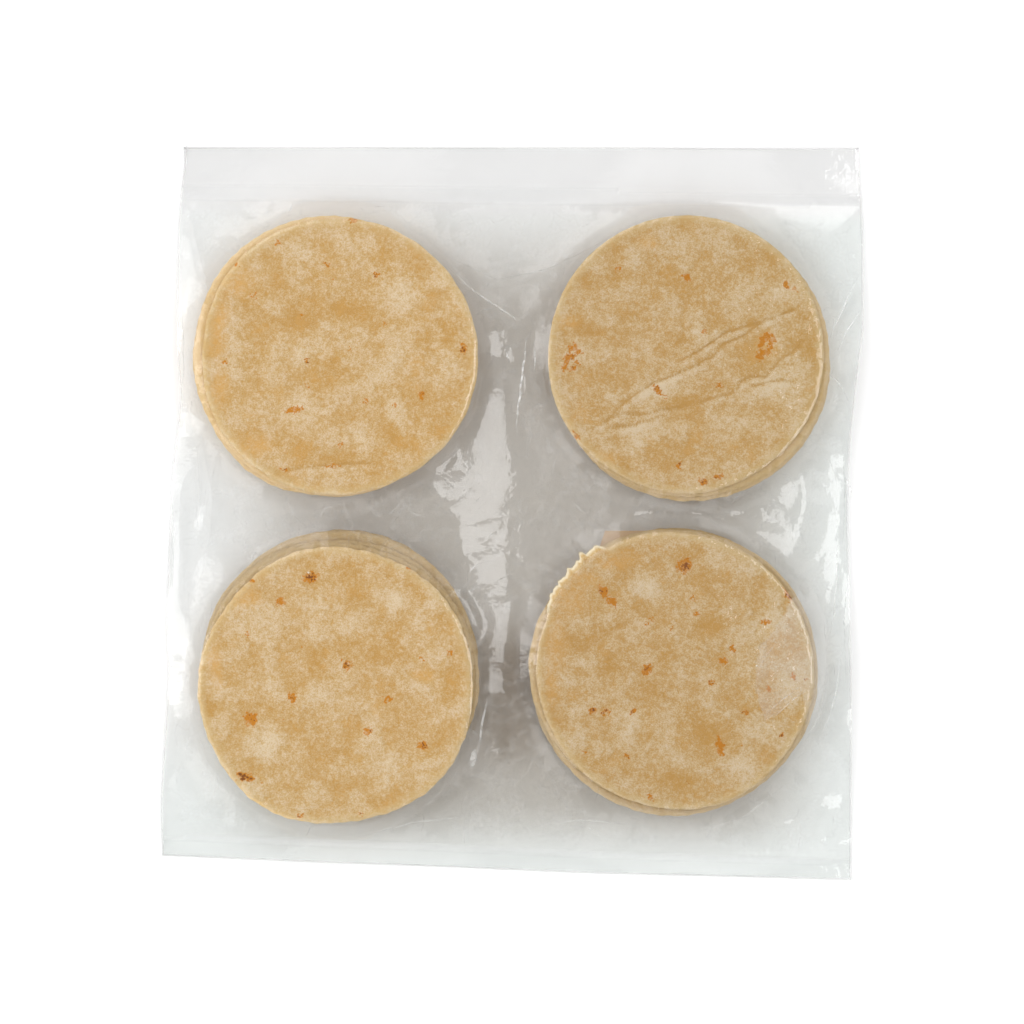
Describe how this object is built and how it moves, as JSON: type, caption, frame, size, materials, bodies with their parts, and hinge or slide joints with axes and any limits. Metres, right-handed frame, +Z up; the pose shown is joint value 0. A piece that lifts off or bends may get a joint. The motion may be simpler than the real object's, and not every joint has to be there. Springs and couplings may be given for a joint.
{
  "type": "flour tortilla pack",
  "caption": "Flat clear sealed bag holding low stacks of small soft flour tortillas, with a plain header and welded seals at its ends.",
  "frame": {"origin": "middle of the bag's underside, on the surface that it lies on", "axes": "+Z up, out of the shown side; +Y along the bag towards its header; +X to the right when the header is away from the viewer"},
  "size_m": [0.2924, 0.3051, 0.0152],
  "materials": {
    "film": "clear, slightly milky, glossy with soft creases",
    "tortilla": "matt cream flatbread with golden patches and toasted spots"
  },
  "bodies": {
    "root": {"bag": "film"}
  },
  "joints": []
}
